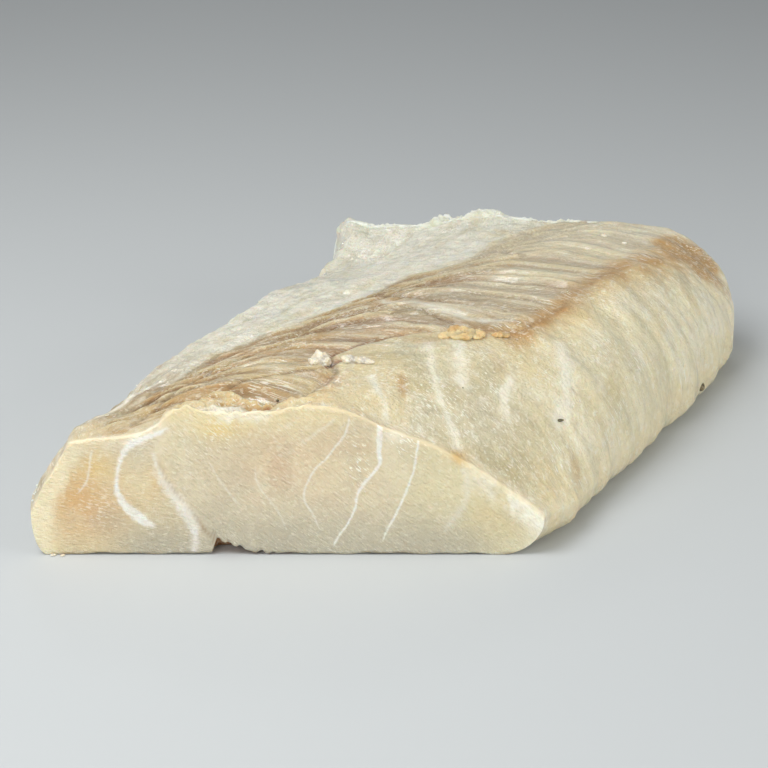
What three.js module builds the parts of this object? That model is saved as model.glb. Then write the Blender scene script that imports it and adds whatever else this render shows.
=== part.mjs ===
// Desalted cod loin: one thick piece of salt-cured fish, soaked, resting on its flat underside.
// Millimetres, +Z up. The form is worked out in the frame of the near cut: x runs along the cut,
// y runs away from it, z is height. At the end it is turned so that the fish's length lies on Y.

import * as THREE from 'three';
import { mergeVertices } from 'three/addons/utils/BufferGeometryUtils.js';

// Driving dimensions
const CUT_LEFT = -68.4;          // left end of the near cut, without its bulge
const CUT_RIGHT = 31.8;          // right end of the near cut, without its flare
const REACH_LEFT = 163;          // how far the left edge runs back from the cut
const REACH_RIGHT = 138;         // the same for the right edge, before its corner is rounded
const LEAN_LEFT = 0.362;         // sideways drift of the left edge for each mm back
const LEAN_RIGHT = 0.49;         // the same for the right edge
const LOIN_HEIGHT = 34.2;        // highest stretch of the shoulder
const CUT_HEIGHT = 31.6;         // height of the near cut over its thick lobe
const CORNER_START = 0.58;       // where the far right corner starts to round, as a share across
const CORNER_DROP = 32;          // how far that corner falls back
const NOTCH = { left: -33.8, width: 13, height: 3.4, depth: 5 };

// Sizes that change along the loin, as [distance back, size]
const SEAM_LEFT = [[0, 9], [5, 12], [30, 9]];                 // height where the left side is widest
const SEAM_RIGHT = [[0, 8], [14, 6], [88, 6], [130, 9.5]];    // the same on the right side
const TUCK = [[0, 9], [20, 5], [88, 5], [130, 10]];           // width of the right side's curl under
const FLANK = [[0, 44], [18, 40], [55, 24], [85, 18], [110, 19], [145, 26]];    // width of the flank
const BENCH = [[0, 22.5], [12, 20.4], [40, 25.8], [90, 25], [135, 18.5], [158, 20.5]]; // left height
const BACK = [
  [0, CUT_HEIGHT], [36, LOIN_HEIGHT - 0.6], [75, LOIN_HEIGHT], [110, LOIN_HEIGHT - 1.6], [150, 29.8],
];

// Swells, dips and rounded edges
const CREST = { height: 27.5, nearHeight: 25, from: 9, to: 55, near: 6 };
const BULGE = { at: 5, length: 6, width: 3.6 };
const HOOK = { width: 4.2, length: 7 };     // the far left corner juts out
const FLARE = { width: 1.2, length: 8 };
const BELLIES = [{ at: 55, half: 36, width: 1.6 }, { at: 98, half: 14, width: 1.4 }];
const FLAP = { lift: 4.2, length: 13, share: 0.62 };
const TUFTS = [{ share: 0, half: 0.06, lift: 2.8 }, { share: 0.32, half: 0.09, lift: 2 }];
const SLUMP = { drop: 4.8, across: [0.62, 0.96], back: [86, 122] };   // fall of the far right corner
const SHOULDER = { lift: 0.8, inward: 2, half: 5 };
const FLANK_POWER = { near: 1.22, far: 1.8, reach: 36 };
const LEFT_ROLL = { width: [8.5, 5], power: [1.05, 2], reach: 32 };
const TROUGH = { at: 8, width: 5, depth: 1.6, left: -58, right: -12, rise: 10, fall: 10 };
const BAND = { pitch: 13, depth: 0.4, slide: 18 };
const LEDGE = { left: -54, right: -41.8, rise: 8, fall: 2.2, depth: 1.5 };
const SAG = { left: -39, right: -16, rise: 5, fall: 8, depth: 1.1 };
const CUT_FADE = 5;              // how far back the ledge and the sag of the near cut reach
const LIP_ROUND = { width: 2, drop: 0.8 };
const END_ROUND = { width: 5, drop: 2.4 };
const TURN = THREE.MathUtils.degToRad(24);

// Mesh density
const ACROSS = 57;
const ALONG = 51;
const CAP_ROWS = 4;
const RINGS = [0, 0.012, 0.03, 0.055, 0.085, 0.112];

const { clamp, lerp, smoothstep } = THREE.MathUtils;

// Quarter of a superellipse: 0 at q = 0 with a steep start, 1 at q = 1 with a level end.
const roll = (q, n) => (1 - (1 - clamp(q, 0, 1)) ** n) ** (1 / n);

const bump = (x, centre, width) => Math.exp(-(((x - centre) / width) ** 2));

// Smooth steps through [station, value] pairs, level at each station.
function track(x, stations) {
  let value = stations[0][1];
  for (let i = 1; i < stations.length; i++) {
    const [from, before] = stations[i - 1];
    const [to, after] = stations[i];
    value += (after - before) * smoothstep(x, from, to);
  }
  return value;
}

// Small unevenness of a torn or trimmed edge.
const ragged = (d) => 0.3 * Math.sin(d / 3.3) + 0.2 * Math.sin(d / 1.9 + 1.3);

// Rises from 0 to 1 after a stretch's left end and falls back to 0 before its right end.
function stretch(x, { left, right, rise, fall }) {
  return smoothstep(x, left, left + rise) - smoothstep(x, right - fall, right);
}

function leftEdge(y) {
  const waist = 2.6 * Math.sin(Math.PI * clamp(y / REACH_LEFT, 0, 1));
  const bulge = BULGE.width * bump(y, BULGE.at, BULGE.length);
  const hook = HOOK.width * Math.exp(-Math.max(REACH_LEFT - y, 0) / HOOK.length);
  return CUT_LEFT + LEAN_LEFT * y + waist - bulge - hook + ragged(y) * smoothstep(y, 4, 20);
}

function rightEdge(y) {
  let x = CUT_RIGHT + LEAN_RIGHT * y + FLARE.width * smoothstep(y, 0, FLARE.length);
  for (const belly of BELLIES) x += belly.width * bump(y, belly.at, belly.half);
  return x;
}

// Far edge: a straight slanted trim whose right corner is a quarter ellipse.
function farEdge(s) {
  const q = clamp((s - CORNER_START) / (1 - CORNER_START), 0, 1);
  const corner = CORNER_DROP * (1 - Math.sqrt(1 - q * q));
  return lerp(REACH_LEFT, REACH_RIGHT, s) - corner + 1.4 * ragged(90 * s) * (1 - s);
}

// Height of the upper surface: bench at the left edge, crest, arched back, shoulder and flank.
function topHeight(x, y, s) {
  const fromLeft = x - leftEdge(y);
  const fromRight = rightEdge(y) - x;
  const near = Math.exp(-y / 10);
  const flank = track(y, FLANK);
  const crest = lerp(CREST.from, CREST.to, (y / 150) ** 1.7) + CREST.near * near;
  const crestHeight = lerp(CREST.height, CREST.nearHeight, near);

  let z = lerp(track(y, BENCH), crestHeight, smoothstep(fromLeft / crest, 0, 1));
  const rise = (fromLeft - crest) / (fromLeft + fromRight - flank - crest);
  const arch = Math.sin((Math.PI / 2) * clamp(rise, 0, 1));
  z += (track(y, BACK) - crestHeight) * lerp(arch, smoothstep(rise, 0, 0.42), near);

  const tail = Math.exp(-Math.max(farEdge(s) - y, 0) / FLAP.length);
  z += FLAP.lift * tail * Math.max(1 - s / FLAP.share, 0) ** 1.5;
  for (const tuft of TUFTS) z += tuft.lift * tail * bump(s, tuft.share, tuft.half);
  z -= TROUGH.depth * stretch(x, TROUGH) * bump(y, TROUGH.at, TROUGH.width);
  z += SHOULDER.lift * bump(fromRight, flank + SHOULDER.inward, SHOULDER.half) * smoothstep(y, 15, 45);
  z -= SLUMP.drop * smoothstep(s, ...SLUMP.across) * smoothstep(y, ...SLUMP.back);
  const flake = y - (BAND.slide * fromRight) / flank;
  const bands = Math.sin((2 * Math.PI * flake) / BAND.pitch + Math.sin(y / 17));
  const onFlank = smoothstep(fromRight, 1, 8) * (1 - smoothstep(fromRight, flank, flank + 8));
  z += BAND.depth * bands * onFlank * smoothstep(y, 2, 14);
  const dip = LEDGE.depth * stretch(x, LEDGE) + SAG.depth * stretch(x, SAG);
  z -= dip * bump(y, 0, CUT_FADE);
  z -= LIP_ROUND.drop * (1 - roll(y / LIP_ROUND.width, 2));
  z -= END_ROUND.drop * (1 - roll((farEdge(s) - y) / END_ROUND.width, 2));

  const flankPower = lerp(FLANK_POWER.near, FLANK_POWER.far, smoothstep(y, 0, FLANK_POWER.reach));
  z = lerp(track(y, SEAM_RIGHT), z, roll(fromRight / flank, flankPower));
  const behind = smoothstep(y, 0, LEFT_ROLL.reach);
  const leftPower = lerp(...LEFT_ROLL.power, behind);
  return lerp(track(y, SEAM_LEFT), z, roll(fromLeft / lerp(...LEFT_ROLL.width, behind), leftPower));
}

// Height of the underside: flat at 0, curling up to both sides, with a torn notch in the near edge.
function baseHeight(x, y) {
  const fromLeft = x - leftEdge(y);
  const fromRight = rightEdge(y) - x;
  const across = (x - NOTCH.left) / NOTCH.width;
  const gap = smoothstep(across, -0.1, 0.05) * (1 - clamp(across, 0, 1)) ** 1.5;
  const fade = 1 - smoothstep(y, 0, NOTCH.depth);
  return track(y, SEAM_RIGHT) * (1 - roll(fromRight / track(y, TUCK), 2))
    + track(y, SEAM_LEFT) * (1 - roll(fromLeft / 3, 2))
    + NOTCH.height * gap * fade;
}

// Point of the plan at share s across and share t back, at the height that fn gives.
function onPlan(s, t, fn) {
  const y = t * farEdge(s);
  const x = lerp(leftEdge(y), rightEdge(y), s);
  return new THREE.Vector3(x, y, fn(x, y, s));
}

const topPoint = (s, t) => onPlan(s, t, topHeight);
const basePoint = (s, t) => onPlan(s, t, baseHeight);

// Shares from 0 to 1, closer together towards both ends, where the sides curve.
function shares(count) {
  return Array.from({ length: count + 1 }, (_, i) => {
    const u = i / count;
    return lerp(u, (1 - Math.cos(Math.PI * u)) / 2, 0.75);
  });
}

class Skin {
  constructor() {
    this.corners = [];
  }

  triangle(a, b, c) {
    const area = b.clone().sub(a).cross(c.clone().sub(a)).length() / 2;
    if (area > 1e-6) this.corners.push(a, b, c);
  }

  // Quads between rows of points. The cross product of "along a row" and "to the next row" faces out.
  patch(rows) {
    for (let j = 1; j < rows.length; j++) {
      for (let i = 1; i < rows[j].length; i++) {
        const [a, b, c, d] = [rows[j - 1][i - 1], rows[j - 1][i], rows[j][i], rows[j][i - 1]];
        this.triangle(a, b, c);
        this.triangle(a, c, d);
      }
    }
  }

  geometry() {
    const geometry = new THREE.BufferGeometry().setFromPoints(this.corners);
    return mergeVertices(geometry, 1e-4);
  }
}

// Wall between the underside and the top at the near (t = 0) or far (t = 1) end.
function endWall(across, t) {
  return Array.from({ length: CAP_ROWS + 1 }, (_, row) =>
    across.map((s) => basePoint(s, t).lerp(topPoint(s, t), row / CAP_ROWS)));
}

// Closed loop around the plan, shrunk towards its middle, counterclockwise from above.
function baseRing(across, along, inset) {
  const inner = (u) => lerp(0.5, u, 1 - 2 * inset);
  const near = across.map((s) => [s, 0]);
  const right = along.slice(1).map((t) => [1, t]);
  const far = across.slice(0, -1).reverse().map((s) => [s, 1]);
  const left = along.slice(0, -1).reverse().map((t) => [0, t]);
  return [...near, ...right, ...far, ...left].map(([s, t]) => basePoint(inner(s), inner(t)));
}

function loinGeometry() {
  const across = shares(ACROSS);
  const along = shares(ALONG);
  const skin = new Skin();
  skin.patch(along.map((t) => across.map((s) => topPoint(s, t))));
  skin.patch(endWall(across, 0));
  skin.patch(endWall(across, 1).map((row) => row.reverse()));

  const rings = RINGS.map((inset) => baseRing(across, along, inset));
  skin.patch(rings.map((ring) => [...ring].reverse()));
  const floor = rings.at(-1).slice(0, -1);
  for (const [a, b, c] of THREE.ShapeUtils.triangulateShape(floor, [])) {
    skin.triangle(floor[a], floor[c], floor[b]);
  }

  const geometry = skin.geometry().rotateZ(TURN);
  geometry.computeBoundingBox();
  const middle = geometry.boundingBox.getCenter(new THREE.Vector3());
  geometry.translate(-middle.x, -middle.y, 0);
  geometry.computeVertexNormals();
  return geometry;
}

const flesh = new THREE.MeshStandardMaterial({ color: 0xe2d6b4, roughness: 0.38, metalness: 0 });
const loin = new THREE.Mesh(loinGeometry(), flesh);
loin.name = 'cod_loin';

const group = new THREE.Group();
group.add(loin);

export default group;
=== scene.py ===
"""Looks of a desalted cod loin: one thick piece of pale, moist fish with a browned upper side.

The form is worked out in millimetres in the frame of the near cut: x runs along the cut, y runs
away from it and z is height. Shares s (left to right) and t (cut to far end) run over the plan.
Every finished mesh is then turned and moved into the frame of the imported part, in metres.
"""
import math

import bmesh
import bpy
import numpy as np
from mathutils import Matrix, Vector


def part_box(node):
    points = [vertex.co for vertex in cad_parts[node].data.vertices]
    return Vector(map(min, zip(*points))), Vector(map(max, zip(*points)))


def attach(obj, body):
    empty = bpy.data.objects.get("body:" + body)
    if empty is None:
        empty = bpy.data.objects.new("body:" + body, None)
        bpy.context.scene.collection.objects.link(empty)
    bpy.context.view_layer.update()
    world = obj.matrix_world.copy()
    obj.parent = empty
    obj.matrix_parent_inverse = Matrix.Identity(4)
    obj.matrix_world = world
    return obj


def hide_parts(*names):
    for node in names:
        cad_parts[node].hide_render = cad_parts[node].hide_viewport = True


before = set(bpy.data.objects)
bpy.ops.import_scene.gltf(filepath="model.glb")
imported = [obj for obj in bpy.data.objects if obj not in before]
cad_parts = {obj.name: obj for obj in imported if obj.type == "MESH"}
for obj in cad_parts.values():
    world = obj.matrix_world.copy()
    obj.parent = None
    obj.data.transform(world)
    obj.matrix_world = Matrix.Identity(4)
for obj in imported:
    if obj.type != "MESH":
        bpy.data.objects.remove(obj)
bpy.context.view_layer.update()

NODE = "cod_loin"
BODY = "root"
MM = 0.001

# Driving dimensions of the loin, in millimetres
TURN = math.radians(24)
CUT_LEFT, CUT_RIGHT = -68.4, 31.8
REACH_LEFT, REACH_RIGHT = 163.0, 138.0
LEAN_LEFT, LEAN_RIGHT = 0.362, 0.49
LOIN_HEIGHT, CUT_HEIGHT = 34.2, 31.6
CORNER_START, CORNER_DROP = 0.58, 32.0
CUT_ROUND_LEFT, CUT_ROUND_RIGHT = 0.3, 0.6

# Mesh of the loin: counts across and along, rows of the end walls, their last shares of the height,
# and shares at which the underside's rings stand in from its rim
ACROSS, ALONG = 250, 260
NEAR_ROWS, FAR_ROWS = 54, 12
LAST_RISES = (0.92, 0.94, 0.96, 0.98, 0.99, 0.997)
RING_INSETS = (0.004, 0.010, 0.018, 0.030, 0.045, 0.065, 0.085, 0.112)


# ---------------------------------------------------------------- numbers and arrays

def ease(x, start, end):
    """Smooth step: 0 at start, 1 at end and level past both. The end may be the smaller of the two."""
    q = np.clip((x - start) / (end - start), 0, 1)
    return q * q * (3 - 2 * q)


def mix(a, b, share):
    """a where share is 0 and b where it is 1, in a straight line between."""
    return a + (b - a) * share


def roll(q, power):
    """Quarter of a superellipse: rises steeply from 0 at q = 0 and is level at 1 at q = 1."""
    return (1 - (1 - np.clip(q, 0, 1)) ** power) ** (1 / power)


def bell(x, centre, width):
    """Gaussian hump of height 1 at centre."""
    return np.exp(-((x - centre) / width) ** 2)


def track(x, stations, values):
    """Smooth steps from each station's value to the next, level at each station."""
    out = np.full_like(x, values[0])
    for i in range(1, len(stations)):
        out = out + (values[i] - values[i - 1]) * ease(x, stations[i - 1], stations[i])
    return out


def joined(*parts):
    """Arrays and numbers spread to one shape and joined along a new last axis."""
    return np.stack(np.broadcast_arrays(*parts), -1)


# Cells along each axis of the lattice, how far a seed moves through it, and where it starts
CELLS, SEED_STEP, START = 32, 7.31, 101.0
LATTICE = np.random.default_rng(11).random((CELLS, CELLS, CELLS)) * 2 - 1


def noise(points, size, seed):
    """Value noise from -1 to 1: the eight corners of a cell of that size, blended with eased weights.

    Each seed shifts the points through the lattice, which repeats.
    """
    q = joined(*points) / size + SEED_STEP * seed + START
    cell = np.floor(q).astype(int)
    f = q - cell
    f = f * f * (3 - 2 * f)
    total = 0.0
    for corner in range(8):
        step = np.array([corner & 1, corner >> 1 & 1, corner >> 2 & 1])
        weight = np.prod(np.where(step, f, 1 - f), -1)
        at = (cell + step) % CELLS
        total = total + weight * LATTICE[at[..., 0], at[..., 1], at[..., 2]]
    return total


def layered(points, size, seed):
    """Mean of three noises, each with half the size and half the weight of the one before."""
    weights = (1, 1 / 2, 1 / 4)
    return sum(w * noise(points, size * w, seed + k) for k, w in enumerate(weights)) / sum(weights)


def patch(points, size, seed, start, end):
    """Mask of soft patches: layered noise eased from start to end."""
    return ease(layered(points, size, seed), start, end)


def spline(points, per_span=10):
    """Catmull-Rom curve through the points."""
    p = np.array(points, float)
    p = np.vstack([2 * p[0] - p[1], p, 2 * p[-1] - p[-2]])
    u = np.linspace(0, 1, per_span, endpoint=False)[:, None]
    spans = [
        b + 0.5 * ((c - a) * u + (2 * a - 5 * b + 4 * c - d) * u ** 2 + (3 * b - a - 3 * c + d) * u ** 3)
        for a, b, c, d in zip(p[:-3], p[1:-2], p[2:-1], p[3:])
    ]
    return np.vstack(spans + [p[-2:-1]])


def beside(path, x, y):
    """Nearest place on a path: (distance, positive to the left of its travel, share along it)."""
    near = np.full(x.shape, 1e9)
    side = np.zeros(x.shape)
    share = np.zeros(x.shape)
    for k in range(len(path) - 1):
        ax, ay = path[k]
        dx, dy = path[k + 1] - path[k]
        u = np.clip(((x - ax) * dx + (y - ay) * dy) / (dx * dx + dy * dy), 0, 1)
        ox, oy = x - ax - u * dx, y - ay - u * dy
        gap = np.hypot(ox, oy)
        closer = gap < near
        near = np.where(closer, gap, near)
        side = np.where(closer, np.sign(dx * oy - dy * ox), side)
        share = np.where(closer, (k + u) / (len(path) - 1), share)
    return near, side, share


def colour(red, green, blue):
    """Scene-linear colour of a screen colour given from 0 to 255."""
    c = np.array([red, green, blue]) / 255
    return np.where(c <= 0.04045, c / 12.92, ((c + 0.055) / 1.055) ** 2.4)


class Tint:
    """Colours over an array of points, laid one over another."""

    def __init__(self, base, like):
        self.rgb = np.broadcast_to(base, like.shape + (3,))

    def lay(self, over, mask):
        """Lays a colour, or an array of them, over this one with the strength of the mask."""
        self.rgb = mix(self.rgb, over, np.clip(mask, 0, 1)[..., None])
        return self

    def dab(self, x, y, spots):
        """Lays soft oval spots: colour, middle in x and y, half size in x and y, strength."""
        for over, cx, cy, wide, tall, strength in spots:
            self.lay(over, bell(x, cx, wide) * bell(y, cy, tall) * strength)
        return self


# ---------------------------------------------------------------- form of the loin

def ragged(d):
    """Small unevenness of a trimmed edge, as two sines of different length."""
    return 0.3 * np.sin(d / 3.3) + 0.2 * np.sin(d / 1.9 + 1.3)


def left_edge(y):
    """x of the left edge: a leaning line with a waist of half a sine, a bulge at the cut and a hooked end."""
    waist = 2.6 * np.sin(math.pi * np.clip(y / REACH_LEFT, 0, 1))
    hook = 4.2 * np.exp(-np.maximum(REACH_LEFT - y, 0) / 7)
    return CUT_LEFT + LEAN_LEFT * y + waist - 3.6 * bell(y, 5, 6) - hook + ragged(y) * ease(y, 4, 20)


def right_edge(y):
    """x of the right edge: a leaning line with two bellies."""
    bellies = 1.6 * bell(y, 55, 36) + 1.4 * bell(y, 98, 14)
    return CUT_RIGHT + LEAN_RIGHT * y + 1.2 * ease(y, 0, 8) + bellies


def far_edge(s):
    """Straight slanted trim whose right corner is a quarter ellipse."""
    q = np.clip((s - CORNER_START) / (1 - CORNER_START), 0, 1)
    corner = CORNER_DROP * (1 - np.sqrt(1 - q * q))
    return mix(REACH_LEFT, REACH_RIGHT, s) - corner + 1.4 * ragged(90 * s) * (1 - s)


def cut_round(x):
    """How far the upper edge of the near cut stands back, more at its right end."""
    return mix(CUT_ROUND_LEFT, CUT_ROUND_RIGHT, ease(x, 0, 20))


def seam_left(y):
    """Height at which the upper side meets the underside at the left."""
    return track(y, (0, 5, 30), (9.0, 12.0, 9.0))


def seam_right(y):
    """Height at which the upper side meets the underside at the right."""
    return track(y, (0, 14, 88, 130), (8.0, 6.0, 6.0, 9.5))


def flank_width(y):
    """How far the rounded flank reaches in from the right edge."""
    return track(y, (0, 18, 55, 85, 110, 145), (44.0, 40.0, 24.0, 18.0, 19.0, 26.0))


def crest_width(y):
    """How far the pale slope reaches in from the left edge: a power of y, and wider at the cut."""
    return mix(9, 55, (np.maximum(y, 0) / 150) ** 1.7) + 6 * np.exp(-y / 10)


def top_height(x, y, s):
    """Bench at the left edge, crest, arched back, shoulder, and a rounded flank down to the seam."""
    from_left, from_right = x - left_edge(y), right_edge(y) - x
    near = np.exp(-y / 10)
    flank, crest = flank_width(y), crest_width(y)
    bench = track(y, (0, 12, 40, 90, 135, 158), (22.5, 20.4, 25.8, 25.0, 18.5, 20.5))
    back = track(y, (0, 36, 75, 110, 150), (CUT_HEIGHT, 33.6, LOIN_HEIGHT, 32.6, 29.8))
    crest_height = mix(27.5, 25, near)

    z = mix(bench, crest_height, ease(from_left / crest, 0, 1))
    rise = (from_left - crest) / (from_left + from_right - flank - crest)
    arch = np.sin(math.pi / 2 * np.clip(rise, 0, 1))
    z = z + (back - crest_height) * mix(arch, ease(rise, 0, 0.42), near)

    tail = np.exp(-np.maximum(far_edge(s) - y, 0) / 13)
    peak = 4.2 * np.maximum(1 - s / 0.62, 0) ** 1.5 + 2.8 * bell(s, 0, 0.06) + 2 * bell(s, 0.32, 0.09)
    z = z + tail * peak
    # A dip behind the step between the lobes, a low shoulder, and a fall to the far right corner
    z = z - 1.6 * (ease(x, -58, -48) - ease(x, -22, -12)) * bell(y, 8, 5)
    z = z + 0.8 * bell(from_right, flank + 2, 5) * ease(y, 15, 45)
    z = z - 4.8 * ease(s, 0.62, 0.96) * ease(y, 86, 122)
    # Faint bands down the flank, the ledges of the cut, its rounded upper edge and the far edge
    bands = np.sin(2 * math.pi * (y - 18 * from_right / flank) / 13 + np.sin(y / 17))
    z = z + 0.4 * bands * ease(from_right, 1, 8) * ease(from_right, flank + 8, flank) * ease(y, 2, 14)
    ledge = 1.5 * (ease(x, -54, -46) - ease(x, -44, -41.8)) + 1.1 * (ease(x, -39, -34) - ease(x, -24, -16))
    z = z - ledge * bell(y, 0, 5)
    z = z - 0.12 * np.clip(1 - y / 2, 0, 1) ** 2
    z = z - 2.4 * (1 - roll((far_edge(s) - y) / 5, 2))

    behind = ease(y, 0, 32)
    z = mix(seam_right(y), z, roll(from_right / flank, mix(1.22, 1.8, ease(y, 0, 36))))
    return mix(seam_left(y), z, roll(from_left / mix(8.5, 5.0, behind), mix(1.05, 2.0, behind)))


def base_height(x, y, _):
    """Flat underside that curls up to both seams in quarter circles, with a torn notch in its near edge.

    The notch is tallest at its left end and falls as a power of the distance to its right end.
    """
    from_left, from_right = x - left_edge(y), right_edge(y) - x
    across = (x + 33.8) / 13
    gap = ease(across, -0.04, 0.03) * (1 - np.clip(across, 0, 1)) ** 1.5
    tooth = 0.9 * bell(x, -26.4, 0.8) + 0.35 * np.sin(x * 2.9) * ease(across, 0, 0.1)
    notch = np.maximum(3.4 * gap - tooth * (across > 0) * (across < 1), 0) * ease(y, 5, 0.3)
    undercut = (0.35 + 0.25 * np.sin(x / 1.7) * np.sin(x / 4.1)) * ease(y, 4, 0)
    tuck = track(y, (0, 20, 88, 130), (9, 5, 5, 10))
    return (seam_right(y) * (1 - roll(from_right / tuck, 2))
            + seam_left(y) * (1 - roll(from_left / 3, 2))
            + notch + undercut * ease(from_left, 3, 10) * ease(from_right, 8, 16))


def on_plan(s, t, height):
    """Point of the plan at share s across and share t back, at the height that the function gives."""
    y = t * far_edge(s)
    x = mix(left_edge(y), right_edge(y), s)
    return x, y, height(x, y, s)


def shares(count, gather):
    """Shares from 0 to 1, gathered towards both ends by a cosine."""
    u = np.linspace(0, 1, count + 1)
    return mix(u, (1 - np.cos(math.pi * u)) / 2, gather)


# Lines on the upper side, in x and y
BROWN_EDGE = spline([
    (-60, -2), (-48, 0), (-43, 3), (-39, 8.5), (-35, 12.5), (-31, 13), (-25.5, 7.5), (-19, 5), (-14, 8),
    (-9.5, 17), (-10.8, 26.5), (-8, 31.8), (-4.7, 34.8), (-0.8, 37.8), (5, 40.5), (12, 41), (22, 40),
    (28.7, 40.3), (33, 45), (37, 52), (40, 57), (43.5, 65), (46, 70), (49, 75), (53.5, 81), (59, 89),
    (64, 97), (69, 106), (76, 117),
], 6)
PALE_EDGE = spline([
    (-63, -8), (-60, -1), (-57.3, 3.5), (-52.9, 10.5), (-46.1, 22), (-39, 35.7), (-31.4, 48.8), (-23.1, 58),
    (-15, 68), (-7, 78), (0, 90), (7, 98.5), (16, 104), (22, 113), (29, 130), (41, 143), (58, 156),
], 6)
SILVER_STRIP = spline([(0, 72), (6.3, 68.4), (9.9, 63.2), (13.3, 57), (16.2, 53.2), (19.5, 49), (27, 45)])
CRACKS = [
    spline([(-12.4, 27), (-10.4, 30.2), (-8, 32.1), (-4.9, 35), (-1.2, 38), (4.5, 41)]),
    spline([(-12, 21.3), (-10.4, 23), (-8.8, 24.8)]),
]
# Dark creases, grooved and painted brown, partly as painted shade: path in x and y, half width
CREASES = [
    (spline([(-5, 79), (1, 77.7), (9.1, 70.7), (15.3, 64.6), (21.3, 58), (26, 55)]), 0.8),
    (spline([(-9, 60), (-1, 66.4), (6.3, 63), (12.3, 52.7), (18.1, 44), (22.2, 40.6), (26.8, 39.4),
             (33, 41)]), 0.7),
    (spline([(-56, 5), (-51, 13), (-44, 25), (-37.5, 37), (-30, 50), (-20, 61)]), 0.6),
    (spline([(-50, 4), (-43, 15), (-36, 27), (-27, 38)]), 0.5),
    (spline([(-22, 45), (-12, 53), (-4, 57)]), 0.5),
    (spline([(-31, 16), (-24, 18), (-18, 20), (-13, 20)]), 0.5),
]


def grain_number(x, y):
    """Number of the fibre ridge at a point: ridges run back beside a slanted line and then bend right.

    u is the sideways distance from that line. The number is the distance back plus 0.56 u to the
    right of the line and minus 1.8 u to its left, with a round bend between.
    """
    u = x - 2 - 0.75 * (y - 71)
    return y + 0.56 * u + 1.18 * (np.sqrt(u * u + 50) - u)


def ridge(number, pitch):
    """Round ridges with narrow grooves between, from -1 in a groove to 0.5 on a ridge."""
    return 0.5 - 1.5 * (1 - np.abs(np.sin(math.pi * number / pitch))) ** 2


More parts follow.
